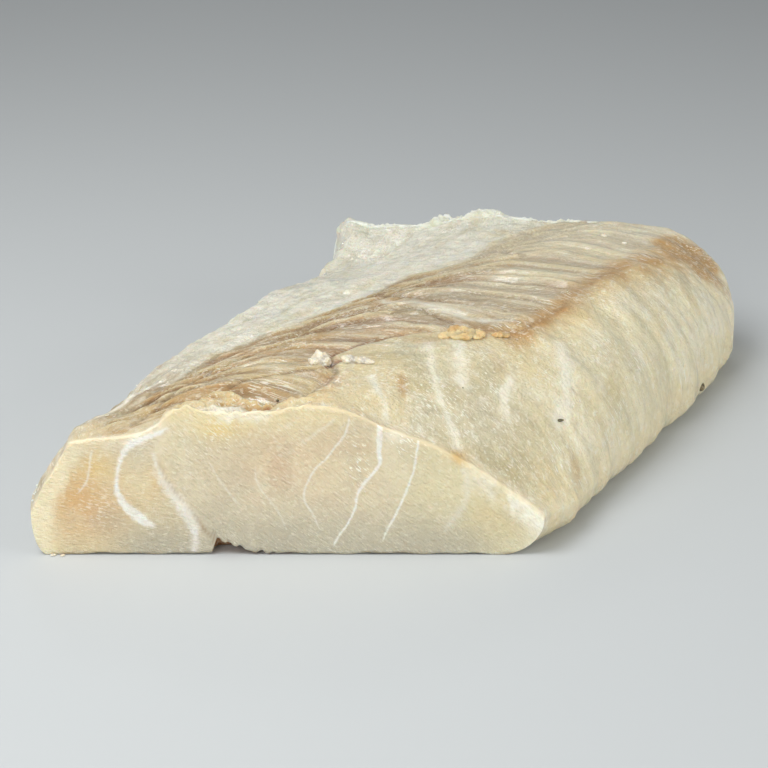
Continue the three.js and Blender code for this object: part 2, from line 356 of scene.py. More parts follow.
class Upper:
    """Masks, fibre coordinates and relief of the upper side at arrays of points.

    inside and pale_gap are the distances past the edges of the browned back and of the pale
    slope. number, flake and fan count across the fibres of the back, the flank and the slope.
    """

    def __init__(self, x, y, z, s):
        self.x, self.y, self.z, self.s = x, y, z, s
        self.at = (x, y, z)
        self.from_left, self.from_right = x - left_edge(y), right_edge(y) - x
        self.to_end = far_edge(s) - y
        wander = layered(self.at, 7, 3)
        fray = noise(self.at, 1.8, 4)
        gap, side, self.edge_share = beside(BROWN_EDGE, x, y)
        self.inside = gap * side + 0.8 * wander + 0.3 * fray
        gap, side, _ = beside(PALE_EDGE, x, y)
        self.pale_gap = gap * side + 1.6 * wander + 0.5 * fray
        self.slope = ease(self.pale_gap, -2.0, 2.0)
        soft = ease(self.edge_share, 0.42, 0.55)
        self.brown = ease(self.inside, mix(-0.5, -3.0, soft), mix(0.7, 2.5, soft)) * (1 - self.slope)
        self.crease = sum(bell(beside(path, x, y)[0] + 0.4 * fray, 0, width) for path, width in CREASES)
        self.crack = np.maximum(*[bell(beside(path, x, y)[0], 0, 0.7) for path in CRACKS])

        down = self.from_right / flank_width(y)
        fall = np.minimum(28 * (1 - roll(down, 1.8)), 5)
        self.number = grain_number(x, y) - 2.2 * fall
        self.number = self.number + 2.2 * noise(self.at, 16, 5) + 0.9 * noise(self.at, 6, 6)
        slide = track(y, (0, 55, 105), (-20.0, -2.0, 7.0))
        self.flake = y + slide * down + 1.2 * noise(self.at, 9, 7)
        self.fan = 4.5 * self.from_left / np.sqrt(crest_width(y)) + 1.0 * noise(self.at, 12, 16)
        self.number = self.number + 0.3 * noise(self.at, 2.6, 79)
        self.wide = self.streaks(self.number, x + y, 4.0, 20, 10)
        self.fine = self.streaks(self.number, x + y, 1.7, 8, 26)
        fissures = np.abs(self.streaks(self.number, x + y, 4.6, 26, 42))
        self.fissure = ease(fissures, 0.14, 0.03) * ease(noise(self.at, 11, 9), -0.3, 0.25)

        span = ease(x, -45, -41) - ease(x, -16, -7)
        self.lip = span * ease(self.inside, 0.6, -1.0) * ease(y, 16, 9)
        self.layers = self.streaks(y + 0.2 * x, x, 1.8, 7, 74)
        self.notch = bell(x, -23.8, 2.2) * bell(y, 3.0, 1.5)

    def streaks(self, across, along, width, length, seed):
        """Noise in long thin cells: width across the fibres and length along them, both in millimetres."""
        return noise((across, along * width / length, 0), width, seed)

    def strands(self, across, along, *kinds):
        """Sum of streaks of several kinds, each given as weight, width, length and seed."""
        return sum(weight * self.streaks(across, along, *kind) for weight, *kind in kinds)

    def relief(self):
        """Height to add along the normal, in millimetres."""
        x, y, at = self.x, self.y, self.at
        back = self.brown * ease(y, 1, 6)
        back = back * mix(1, ease(self.inside, 0.5, 4.5), ease(self.edge_share, 0.42, 0.55))
        grooves = 0.4 * self.wide + 0.4 * self.fine + 0.2 * ridge(self.number + 2 * noise(at, 9, 8), 7.5)
        grooves = grooves + 0.12 * self.streaks(self.number, x + y, 1.0, 5, 28)
        out = (grooves - 0.35 * self.fissure - 0.5 * np.minimum(self.crease, 1)) * back

        front = ease(self.edge_share, 0.62, 0.5)
        raised = front * (1 - 0.85 * bell(self.edge_share, 0.44, 0.1))
        out = out - raised * ease(self.edge_share, 0.06, 0.12) * 0.7 * bell(self.inside, 1.0, 1.1)
        out = out + raised * (0.35 + 0.3 * layered(at, 3, 11)) * bell(self.inside, -1.3, 1.8)
        out = out - (1 - front) * 0.3 * bell(self.inside, 1.0, 2.6)
        out = out - 0.4 * self.crack

        curdled = np.maximum(noise(at, 2.6, 12), 0) + 0.9 * noise(at, 1.2, 13)
        curdled = 0.1 + 0.7 * curdled + 0.55 * self.layers * ease(y, 1.5, 4) - 0.9 * self.notch
        out = out + self.lip * curdled
        cream = 1 - np.maximum(self.brown, self.slope)
        wrinkles = self.strands(self.flake, self.from_right,
                                (0.3, 5.5, 24, 27), (0.22, 2.6, 8, 14), (0.12, 1.3, 4, 86))
        out = out + cream * (wrinkles + 0.3 * layered(at, 6, 16) + 0.1 * noise(at, 1.3, 17))
        folds = self.strands(self.fan, y, (0.3, 2.4, 22, 18), (0.16, 1.0, 9, 19))
        out = out + self.slope * (folds + 0.35 * layered(at, 6, 20) + 0.22 * noise(at, 1.5, 21))
        beads = ease(self.from_left, 7, 1) * ease(y, 3, 10)
        out = out + beads * (0.55 * layered(at, 2.6, 22) + 0.2)
        tufts = bell(self.s, 0.22, 0.035) + 0.8 * bell(self.s, 0.33, 0.05) + 0.25
        spikes = np.maximum(0.35 + noise(at, 2.4, 24) + 0.5 * noise(at, 1.2, 25), 0)
        out = out + tufts * spikes * ease(self.to_end, 2.6, 0.6) * ease(self.s, 0.65, 0.5) * 1.7
        torn = ease(self.to_end, 9, 1)
        out = out + torn * (0.9 * layered(at, 4, 23) * (1 - 0.6 * self.s)) * ease(self.from_right, 6, 20)
        foot = foot_bumps(x, y) * ease(self.to_end, 0, 6)
        out = mix(foot, out, ease(self.from_right, 0, 4))
        return mix(foot, out, ease(self.from_left, 0, 2.5))


def foot_bumps(x, y):
    """Height of the lumps and dents along the foot, fading to nothing at the near cut."""
    at = (x, y, 0)
    waves = np.sin(y / 2.3 + 4 * noise(at, 9, 66))
    return (1.3 * layered(at, 8, 64) + 0.5 * layered(at, 2.6, 65) + 0.25 * waves) * ease(y, 1, 8)


def along_normal(grid, push):
    """Moves a grid of points out along its normals, the cross products of its two directions."""
    across, back = np.gradient(grid, axis=1), np.gradient(grid, axis=0)
    normal = np.cross(across, back)
    normal /= np.linalg.norm(normal, axis=-1, keepdims=True) + 1e-12
    return grid + normal * push[..., None]


# ---------------------------------------------------------------- colours of the flesh

# Tones that several places share
CREAM = colour(224, 209, 164)
IVORY = colour(238, 228, 194)
WHITE = colour(250, 246, 228)
STRAW = colour(230, 208, 152)
YELLOW = colour(236, 202, 112)
ORANGE = colour(220, 176, 118)
ROSE = colour(206, 166, 130)
GREY = colour(186, 178, 156)
SHADE = colour(198, 188, 148)
TAN = colour(192, 160, 112)
BEIGE = colour(214, 198, 164)
BROWN = colour(138, 104, 68)
GOLD = colour(198, 158, 104)
RUST = colour(140, 86, 58)
MIST = colour(230, 229, 212)
PALE = colour(228, 219, 192)
STAIN = colour(206, 174, 116)
DUSK = colour(176, 138, 86)
# Tones of one place each
# Flank cream: lighter than the flesh, partly painted light for the far flank, which the lamps reach little
FLANK_CREAM = colour(246, 236, 201)
FLANK_NEAR = colour(198, 183, 138)
FLANK_HOLLOW = colour(200, 196, 158)
FLANK_HAZE = colour(196, 186, 160)
FLANK_LINE = colour(182, 172, 134)
FLANK_FOOT = colour(244, 228, 184)
FLANK_EDGE = colour(238, 220, 176)
SLOPE_HOLLOW = colour(196, 194, 170)
SLOPE_NEAR = colour(184, 164, 130)
SLOPE_START = colour(226, 210, 174)
SLOPE_SIDE = colour(186, 172, 140)
LIP_TAN = colour(228, 200, 146)
LIP_CREAM = colour(236, 216, 170)
LIP_NOTCH = colour(166, 112, 66)
LEDGE = colour(226, 208, 170)
EDGE_LINE = colour(158, 120, 76)
CUT_FLESH = colour(218, 206, 178)
CUT_ROSE = colour(214, 183, 150)
CUT_BUFF = colour(216, 194, 158)
CUT_CREAM = colour(226, 216, 176)
LOBE_CREAM = colour(226, 204, 156)
LOBE_GOLD = colour(224, 188, 124)
CUT_GREY = colour(182, 176, 158)
RIM_CREAM = colour(238, 220, 170)
RIM_PALE = colour(240, 226, 178)
LOBE_RIM = colour(243, 236, 214)
SIDE_RIM = colour(243, 232, 198)
NOTCH_GOLD = colour(190, 130, 76)
FAR_FLESH = colour(226, 212, 172)
MILK = colour(244, 243, 236)
CURD = colour(226, 215, 194)
CURD_SHADE = colour(212, 194, 166)
SHRED = colour(240, 240, 224)
SHRED_SHADE = colour(222, 222, 202)
SCRAP = colour(216, 190, 142)
SCRAP_SHADE = colour(194, 156, 102)
SPECK = colour(82, 76, 54)
SPECK_LIGHT = colour(138, 124, 90)
PAPER = colour(190, 194, 195)

# Soft white walls on the flank: path in x and y, half width, strength
FLANK_SEPTA = [
    (spline([(-2.8, 16), (-1.4, 11), (0.2, 6), (0.4, 0)]), 0.7, 0.8),
    (spline([(9, 33), (10, 20), (10.8, 14), (13.1, 8), (16, 0)]), 1.0, 0.9),
    (spline([(15.7, 31), (15.8, 22), (16.1, 18)]), 1.4, 0.9),
    (spline([(26.2, 25), (24.5, 19.5), (25.2, 16)]), 1.0, 0.8),
    (spline([(37.7, 41), (38.8, 33), (37.2, 26), (35.5, 22.5)]), 1.6, 0.9),
    (spline([(7.2, 4.5), (6.5, 0)]), 0.6, 0.8),
]
# Stains: middle in x and y, half size in x and y, colour, strength
BLOTCHES = [
    (3.7, 13.0, 1.3, 4.0, GOLD, 0.8),
    (9.0, 35.0, 6.0, 3.5, GOLD, 0.35),
    (28.5, 37.0, 4.0, 4.0, GOLD, 0.4),
    (39.6, 17.5, 1.6, 3.2, GOLD, 0.4),
    (33.0, 8.0, 3.0, 6.0, STRAW, 0.4),
    (24.0, 27.5, 2.0, 4.0, GOLD, 0.3),
    (54.0, 130.0, 5.0, 9.0, IVORY, 0.8),
    (-11.0, 12.0, 3.5, 6.0, ROSE, 0.5),
    (-10.3, 24.5, 1.8, 2.5, ROSE, 0.9),
]


def edge_stain(x, beyond):
    """Mask of the golden stain on the edge between the flank and the near cut."""
    return bell(x, 14.4, 1.4) * bell(beyond, 0, 2.0) * 0.85


def paint_flank(u):
    """Cream flank: soft hazy patches, greyer near the cut, straw along the foot and the shoulder. Partly
    painted light and shade: the cream is lightened for the far flank, which the lamps reach little, and the
    grey near the cut is darkened where the front catches the most light.
    """
    x, y, at = u.x, u.y, u.at
    # Darker and greyer near the cut: partly its own grey, partly painted shade on the front, which catches
    # the most light
    near = ease(y, 48, 16) * (1 - 0.6 * ease(x, 22, 36))
    tint = Tint(FLANK_CREAM, x).lay(FLANK_NEAR, near)
    tint.lay(FLANK_HOLLOW, patch(at, 11, 30, 0.0, -0.5) * mix(0.3, 0.5, near))
    tint.lay(IVORY, patch(at, 15, 31, -0.1, 0.3) * mix(0.7, 0.2, near))
    tint.lay(WHITE, patch(at, 8, 29, 0.1, 0.4) * mix(0.4, 0.35, near))
    tint.lay(STRAW, patch(at, 10, 67, 0.1, 0.5) * 0.45)
    haze = bell(x, 20, 9) * bell(y, 13, 9) + patch(at, 9, 68, 0.1, 0.5) * near * 0.5
    tint.lay(FLANK_HAZE, haze * 0.6)
    for width, length, seed, share in ((5.0, 26, 27, 0.35), (2.6, 12, 32, 0.3), (1.5, 5, 33, 0.3)):
        lines = u.streaks(u.flake, u.from_right, width, length, seed)
        tint.lay(FLANK_LINE, ease(-lines, 0.1, 0.7) * share)
        tint.lay(IVORY, ease(lines, 0.15, 0.75) * share)
    tint.lay(FLANK_FOOT, ease(u.z, 15, 4) * 0.6)
    tint.lay(STRAW, bell(u.inside, -3, 4) * 0.5 * ease(y, 12, 30))
    tint.lay(FLANK_EDGE, ease(x, 9, 0) * ease(y, 30, 18) * 0.7)
    for path, width, strength in FLANK_SEPTA:
        gap = beside(path, x, y)[0] + 0.7 * noise(at, 2.2, 35)
        tint.lay(WHITE, bell(gap, 0, 0.85 * width) * strength * (1.4 + 0.4 * noise(at, 3, 75)))
        tint.lay(IVORY, bell(gap, 0, 3.5 * width) * 0.35)
    return tint.rgb


def paint_back(u):
    """Browned back: fibre ridges in tan, rose and cream, browner next to the slope, beige further off. The
    brown in the grooves, fissures and creases and the cream and ivory on the ridge tops are partly the
    fibres' own colours and partly painted shade and painted highlight.
    """
    x, y, at = u.x, u.y, u.at
    far = ease(-u.pale_gap, 8, 28) * ease(y, 35, 60)
    tint = Tint(TAN, x).lay(BEIGE, far)
    mottle = layered(at, 18, 45)
    tint.lay(GOLD, ease(mottle, 0.0, 0.5) * 0.4 * (1 - far))
    tint.lay(PALE, far * mix(0.3, 0.65, ease(y, 60, 110)))
    tint.lay(ROSE, ease(-mottle, 0.0, 0.4) * mix(0.5, 0.3, far))
    # Brown in the grooves, cream and ivory on the ridge tops: partly the fibres' own colours, partly painted
    # shade and painted highlight
    tint.lay(BROWN, ease(-u.wide, 0.05, 0.6) * mix(0.65, 0.45, far))
    tint.lay(CREAM, ease(u.wide, 0.1, 0.6) * mix(0.6, 0.7, far))
    tint.lay(BROWN, ease(-u.fine, 0.1, 0.7) * mix(0.6, 0.45, far))
    tint.lay(IVORY, ease(u.fine, 0.15, 0.6) * mix(0.6, 0.7, far))
    # Darker brown in the fissures: partly painted shade in them
    tint.lay(BROWN * 0.8, u.fissure * mix(0.75, 0.5, far))
    tint.lay(PALE, ease(y, 80, 135) * 0.7)
    # Darker brown in the creases: partly painted shade in them
    tint.lay(BROWN * 0.8, np.minimum(u.crease, 1) * 0.75)
    strip = beside(SILVER_STRIP, x, y)[0] + 0.4 * noise(at, 2, 50)
    return tint.lay(WHITE, bell(strip, 0, 1.1) * 0.7).rgb


def paint_slope(u):
    """Pale wet slope along the left edge: misty white, streaked lengthwise, browner near the cut."""
    x, y, at = u.x, u.y, u.at
    tint = Tint(MIST, x)
    tint.lay(WHITE, patch(at, 12, 51, -0.5, 0.1) * 0.8 * ease(y, 25, 60))
    tint.lay(SLOPE_HOLLOW, patch(at, 5, 81, 0.1, 0.5) * 0.4)
    tint.lay(WHITE, patch(at, 3, 82, 0.1, 0.45) * 0.6)
    for width, length, seed, dark, light in (
            (3.0, 20, 52, 0.25, 0.5), (1.4, 8, 53, 0.3, 0.6), (0.8, 3, 54, 0.25, 0.6)):
        lines = u.streaks(u.fan, y, width, length, seed)
        tint.lay(SHADE, ease(lines, 0.1, 0.7) * dark)
        tint.lay(WHITE, ease(-lines, 0.2, 0.8) * light)
    tint.lay(GREY, ease(y, 140, 158) * 0.15)
    tint.lay(STRAW, bell(u.pale_gap, 2, 5) * ease(noise(at, 6, 55), -0.2, 0.5) * 0.5)
    near = ease(y + 0.8 * u.from_left, 60, 22)
    tint.lay(SLOPE_NEAR, near * 0.8)
    for width, length, seed in ((2.0, 14, 56), (1.0, 6, 57)):
        lines = u.streaks(u.fan, y, width, length, seed)
        tint.lay(BROWN, near * ease(lines, 0.1, 0.6) * 0.6)
        tint.lay(WHITE, near * ease(-lines, 0.15, 0.6) * 0.6)
    pale = ease(x, -40, -46) * ease(y, 14, 4)
    tint.lay(SLOPE_START, pale * ease(noise(at, 3, 62), -0.6, 0.3) * 0.7)
    line = bell(u.pale_gap, -0.4, 0.7) * ease(y, 64, 48) * ease(y, 4, 12)
    tint.lay(BROWN * 0.8, line * 0.75)
    gleam = bell(u.pale_gap, 2.2, 1.3) * ease(y, 48, 60) * ease(y, 112, 95)
    tint.lay(WHITE, gleam * 0.8)
    side = ease(u.from_left, 5.0, 1.0) * ease(y, 30, 12)
    tint.lay(SLOPE_SIDE, side * 0.6)
    # White beads along the left edge: partly pale crumbs, partly painted glints beside the wet edge
    crumbs = ease(noise(at, 1.1, 61), 0.25, 0.5) * ease(u.from_left, 3, 0)
    return tint.lay(WHITE, crumbs * 0.8).rgb


def paint_upper(u):
    """Colours of the upper side, one region over another, then the lines and stains between them."""
    x, y, at = u.x, u.y, u.at
    tint = Tint(paint_flank(u), x).lay(paint_back(u), u.brown).lay(paint_slope(u), u.slope)
    for cx, cy, wide, long, over, strength in BLOTCHES:
        spot = bell(x, cx, wide) * bell(y, cy, long)
        tint.lay(over, ease(spot + 0.3 * layered(at, 3, 36), 0.25, 0.9) * strength)

    tint.lay(LIP_TAN, u.lip * 0.9)
    tint.lay(LIP_CREAM, u.lip * ease(u.layers, -0.1, 0.5) * 0.9)
    tint.lay(GOLD, u.lip * ease(-u.layers, 0.0, 0.5) * ease(y, 1, 4) * 0.9)
    lump = bell(x, -31, 4.5) * bell(y, 2.4, 3.4) + bell(x, -25, 3) * bell(y, 0, 1.3)
    tint.lay(WHITE, ease(lump + 0.35 * noise(at, 1.6, 37), 0.3, 0.75) * 0.85 * u.lip)
    tint.lay(LIP_NOTCH, ease(u.notch + 0.2 * noise(at, 1.5, 38), 0.3, 0.8))

    ledge = ease(x, -40, -45) * ease(y, 10, 3) * u.brown
    tint.lay(LEDGE, ledge * ease(noise(at, 2.5, 63), -0.6, 0.4) * 0.8)
    late = ease(u.edge_share, 0.5, 0.58)
    wide = 3.0 + 2.6 * ease(u.edge_share, 0.72, 0.9)
    rim = bell(u.inside + 0.8 * noise(at, 5, 40), 0.2, wide) * late
    corner = bell(x, 76.5, 10) * bell(y, 119, 14)
    rim = np.maximum(rim, ease(corner + 0.2 * layered(at, 5, 36), 0.25, 0.7))
    patchy = 0.95 + 0.4 * noise(at, 4, 43) + 0.3 * noise(at, 1.8, 39)
    tint.lay(GOLD, rim * patchy)
    tint.lay(DUSK, rim ** 2 * patch(at, 5, 89, -0.2, 0.4) * 0.5)
    tint.lay(DUSK, ease(corner + 0.35 * layered(at, 4, 84), 0.5, 0.95) * 0.8)
    line = bell(u.inside, 0.4, 0.7) * late * ease(u.edge_share, 0.9, 0.8)
    tint.lay(EDGE_LINE, line * (0.5 + 0.5 * noise(at, 3, 69)))
    seam = bell(u.inside, 0.5, 0.6) * ease(u.edge_share, 0.1, 0.25) * (1 - late)
    tint.lay(BROWN, seam * (0.6 + 0.8 * noise(at, 5, 44)))
    tint.lay(RUST, ease(u.crack + 0.2 * noise(at, 2, 88), 0.2, 1.0) * 0.85)

    edge = mix(left_edge(0.0), right_edge(0.0), u.s)
    level = 0 * edge
    height = top_height(edge, level, u.s)
    rim = paint_cut(edge, height, level, (edge, level, height))
    reach = 1.2 + 1.5 * ease(x, -46, -42) + 1.5 * ease(x, -12, 6)
    tint.lay(rim, ease(y + 1.2 * noise(at, 2.5, 76) * ease(y, 0, 2), reach, 0.3))
    # Painted shade: a darker beige band right at the cut's rounded upper edge, toning down the highlight that
    # the rounding catches
    tint.lay(BEIGE, ease(y, 1.6, 0.2) * ease(x, -14, 4) * 0.4)
    return tint.lay(STAIN, edge_stain(x, y)).rgb


# White walls between the flakes on the near cut: (x, z, half width) along each, softness, strength
CUT_SEPTA = [
    ([(-41.5, 27.6, 0.1), (-44.3, 26, 0.3), (-48, 24.6, 0.5), (-50.4, 22.9, 0.4), (-51.8, 20.4, 0.2),
      (-52.7, 16.6, 0.2), (-52.6, 13.5, 0.4), (-51.2, 10.6, 0.7), (-49.0, 8.5, 0.9), (-47.0, 6.9, 0.6),
      (-45.0, 6.0, 0.0)], 0.8, 1.0),
    ([(-45.4, 22.5, 0.05), (-45, 20, 0.1), (-44, 16.7, 0.3), (-42.2, 13.5, 0.5), (-40, 10.3, 0.9),
      (-38.3, 7, 0.9), (-37.6, 4.6, 0.7), (-37.9, 1.5, 0.4), (-38.0, 0.3, 0.1)], 1.5, 0.65),
    ([(-57.3, 22.6, 0.1), (-58, 18.8, 0.08), (-58.7, 15.9, 0.08), (-60.6, 13.2, 0.05)], 0.45, 0.6),
    ([(-34.6, 20.6, 0.0), (-32.6, 16.4, 0.05), (-29.9, 12.5, 0.05), (-28.4, 10.6, 0.0)], 0.45, 0.4),
    ([(-25.2, 19.5, 0.0), (-25.3, 17, 0.05), (-24.4, 14.3, 0.06), (-22.3, 11.4, 0.05), (-20.8, 9, 0.05),
      (-19.2, 5, 0.0)], 0.45, 0.4),
    ([(-6.6, 30, 0.1), (-7.2, 27.3, 0.14), (-7.8, 25.5, 0.14), (-9.7, 23, 0.14), (-11.3, 20.8, 0.12),
      (-13.5, 18.6, 0.14), (-15.1, 15.7, 0.1), (-15.8, 13.3, 0.08), (-15.4, 10.9, 0.05), (-14.2, 9, 0.08),
      (-12.6, 5, 0.0)], 0.4, 0.65),
    ([(-0.6, 29.2, 0.35), (-0.8, 26.8, 0.45), (-1, 22.4, 0.4), (-0.8, 19.8, 0.3), (-2.3, 17.4, 0.2),
      (-4.2, 15, 0.2), (-5.2, 13, 0.15), (-5.8, 10, 0.12), (-7.2, 6.8, 0.12), (-9.4, 3.4, 0.08),
      (-10.2, 1.5, 0.0)], 0.42, 0.95),
    ([(7.2, 27.5, 0.05), (6.4, 22, 0.12), (5.6, 17.4, 0.15), (3.1, 10.5, 0.15), (0.9, 6, 0.12),
      (-0.4, 2.8, 0.0)], 0.42, 0.9),
    ([(15.6, 19, 0.3), (16.2, 16, 0.2), (15.8, 11.3, 0.2), (13.3, 7, 0.1), (11.5, 5, 0.0)], 1.6, 0.4),
    ([(-9.5, 29, 0.1), (-11.5, 27.5, 0.1), (-13.5, 26, 0.1), (-16.5, 23.5, 0.0)], 0.8, 0.35),
]
LOBE_SEAM = spline([
    (-42, 32), (-43.5, 26), (-44.3, 20), (-42.5, 15.3), (-38.5, 9.5), (-35.4, 5.2), (-33.6, 3.2), (-33.5, -1),
])


def septum_fields(x, z):
    """Signed distance to the nearest white wall, half its width, and its strength.

    Distance and width are counted in softnesses of that wall. The strength falls to nothing at
    the wall's ends and further off, where the sign of the distance may flip.
    """
    best = np.full(x.shape, 99.0)
    signed, half, strength = (np.zeros(x.shape) for _ in range(3))
    for points, soft, force in CUT_SEPTA:
        path = spline(points)
        gap, side, share = beside(path[:, :2], x, z)
        width = np.interp(share, np.linspace(0, 1, len(path)), path[:, 2])
        edge = (gap - width) / soft
        closer = edge < best
        best = np.where(closer, edge, best)
        signed = np.where(closer, gap * side / soft, signed)
        half = np.where(closer, width / soft, half)
        fade = ease(edge, 3.0, 1.8) * ease(share, 0, 0.05) * ease(1 - share, 0, 0.05)
        strength = np.where(closer, force * fade, strength)
    return signed, half, strength


# Glints of the near cut: middle in x and z, half size in x and z, share
GLINTS = [(-5.2, 20.5, 2.6, 3.6, 1.4), (3.2, 24.3, 3.2, 2.6, 1.4), (-57, 9, 6, 4, 0.25), (-33, 25, 6, 4, 0.4)]
# Spots of the near cut: colour, middle in x and z, half size in x and z, strength
GLOW = [(CUT_ROSE, -17, 20, 12, 8, 0.75), (CUT_BUFF, -3.5, 20, 3, 8, 0.5)]
LOBE_SPOTS = [
    (ORANGE, -60.5, 12, 6.5, 7, 0.8), (ROSE, -55, 8, 5, 4, 0.4), (LOBE_GOLD, -45, 16, 2.5, 4, 0.5),
    (YELLOW, -32.5, 27.2, 4, 2.2, 0.8), (YELLOW, -57, 19, 3, 2.5, 0.35),
]


def spark_share(x, z):
    """How many bright glints the cut has: most beside the long walls, few elsewhere."""
    return 0.3 + sum(share * bell(x, a, wide) * bell(z, b, tall) for a, b, wide, tall, share in GLINTS)


def paint_cut(x, z, depth, at):
    """Face of the near cut: glowing flakes with cream rims, orange at the left, greyer towards the base."""
    tint = Tint(CUT_FLESH, x).dab(x, z, GLOW)
    tint.lay(CUT_CREAM, ease(x, -2, 12) * 0.8)
    tint.lay(STRAW, bell(x, 23, 8) * bell(z, 8, 5) * 0.4)
    tint.lay(LOBE_CREAM, ease(x + 0.9 * z, -28, -38) * 0.6)
    tint.dab(x, z, LOBE_SPOTS)

    cloud = layered(at, 8, 51)
    tint.lay(IVORY, ease(cloud, 0.0, 0.5) * 0.4)
    tint.lay(GREY, ease(-cloud, 0.0, 0.5) * 0.25)
    low = ease(z + 2.5 * layered(at, 9, 52), 14, 1) * (1 - 0.7 * ease(x, 12, 26)) * ease(x, -62, -46)
    tint.lay(CUT_GREY, low * 0.85)

    fray = 0.8 * noise((x / 2.2, z / 6, 0), 0.4, 58)
    rim = ease(x, -44, -40) - ease(x, -14, 0)
    tint.lay(RIM_CREAM, bell(depth, 0, 8) * rim * 0.4)
    tint.lay(RIM_PALE, bell(depth + 0.8 * fray, 0.8, 2.4) * rim * 0.5)
    on_lobe = ease(x, -42, -45) * (depth < 12)
    rough = 0.7 + 0.5 * noise(at, 1.2, 78)
    tint.lay(LOBE_RIM, on_lobe * ease(depth + 1.5 * fray, 2.8, 0.4) * rough * 0.25)
    tint.lay(WHITE, on_lobe * ease(depth + 1.5 * fray, 2.4, 0.6) * bell(x, -47.5, 5) * rough)
    # Distance in from the slanted left face of the lobe
    side = (x + 61.2) * 0.909 - (z - 23) * 0.412
    tint.lay(SIDE_RIM, ease(side + fray, 3.0, 0.2) * ease(z, 1, 5) * 0.85)
    tint.lay(SIDE_RIM, bell(x, -67.5, 2) * ease(z, 12, 8) * 0.7)
    tint.lay(WHITE, bell(x, 2.6, 3.2) * bell(z, 25.8, 1.6) * 0.75)
    tint.lay(WHITE, ease(bell(x, -25.5, 4) * bell(depth, 0, 2.6) + 0.3 * fray, 0.3, 0.8) * 0.7)
    milky = patch(at, 3, 85, -0.45, 0.15)
    tint.lay(IVORY, ease(depth + 2 * fray, 5.0, 0.3) * ease(x, 12, 22) * 0.5 * milky)
    tint.lay(WHITE, bell(depth + fray, 2.0, 2.6) * ease(x, 14, 24) * milky)
    tint.lay(WHITE, bell(x + 0.5 * fray, 32, 3.2) * ease(z, 12, 8) * 0.6)
    lump = bell(x, -31, 3.6) * bell(depth, 0, 2.0) + 0.25 * noise(at, 1.4, 83)
    tint.lay(WHITE, ease(lump, 0.3, 0.8) * 0.85)
    # Painted shade: a darker beige band along the cut's rounded upper edge, toning down the highlight that
    # the rounding catches
    tint.lay(BEIGE, ease(depth, 1.0, 0.2) * 0.5)
    tint.lay(STAIN, edge_stain(x, 1.5 * depth))
    # Brown line along the seam between the lobes: partly their brown join, partly a painted shadow line of
    # the step between them
    seam = bell(beside(LOBE_SEAM, x, z)[0] + 0.3 * noise(at, 2, 59), 0, 0.3) * ease(z, 22, 17)
    tint.lay(BROWN, seam * 0.55)
    # Brown along the bottom of the cut: partly browned flesh, partly a painted contact shadow where it meets
    # the floor
    foot = ease(z, 0.9, 0.3) * ease(noise(at, 4, 60), -0.3, 0.4)
    return tint.lay(BROWN, foot * 0.6).rgb


def cut_grain(x, z):
    """Fibre directions on the cut: across and along lines that fall to the right, less on the left lobe."""
    _, side, _ = beside(LOBE_SEAM, x, z)
    fall = np.where(side > 0, math.radians(40), math.radians(14))
    return x * np.sin(fall) + z * np.cos(fall), x * np.cos(fall) - z * np.sin(fall)


# ---------------------------------------------------------------- meshes

def rotated(x, y, angle):
    """x and y turned by an angle about Z."""
    c, s = np.cos(angle), np.sin(angle)
    return x * c - y * s, x * s + y * c


def plain_centre():
    """Middle of the plain form's box in the turned frame, which is the part's own origin."""
    s, t = np.meshgrid(shares(120, 0.75), shares(120, 0.75))
    x, y, _ = on_plan(s, t, top_height)
    return np.array([(axis.min() + axis.max()) / 2 for axis in rotated(x, y, TURN)])


low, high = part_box(NODE)
CAD_CENTRE = np.array([low.x + high.x, low.y + high.y]) / 2
FORM_CENTRE = plain_centre()


def to_part(points):
    """Points of the cut's frame in millimetres as points of the part's frame in metres."""
    p = np.asarray(points, float)
    flat = joined(*rotated(p[..., 0], p[..., 1], TURN))
    x, y = np.moveaxis((flat - FORM_CENTRE) * MM + CAD_CENTRE, -1, 0)
    return joined(x, y, p[..., 2] * MM + low.z)


def quads(index):
    """Quads between the rows of a grid of vertex numbers, with repeated corners left out."""
    a, b, c, d = index[:-1, :-1], index[:-1, 1:], index[1:, 1:], index[1:, :-1]
    faces = joined(a, b, c, d).reshape(-1, 4)
    return [[v for k, v in enumerate(f) if v != f[k - 1]] for f in faces.tolist()]


def make_piece(name, points, faces, material, attributes=None):
    """Mesh object in the part's frame, shaded smooth, riding on the loin's body."""
    mesh = bpy.data.meshes.new(name)
    mesh.from_pydata(to_part(points).tolist(), [], faces)
    mesh.update()
    mesh.polygons.foreach_set("use_smooth", np.ones(len(mesh.polygons), bool))
    for key, values in (attributes or {}).items():
        kind = "FLOAT_COLOR" if values.shape[-1] == 4 else "FLOAT_VECTOR"
        field = "color" if values.shape[-1] == 4 else "vector"
        mesh.attributes.new(key, kind, "POINT").data.foreach_set(field, values.astype(np.float32).ravel())
    mesh.materials.append(material)
    piece = bpy.data.objects.new(name, mesh)
    bpy.context.scene.collection.objects.link(piece)
    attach(piece, BODY)
    return piece


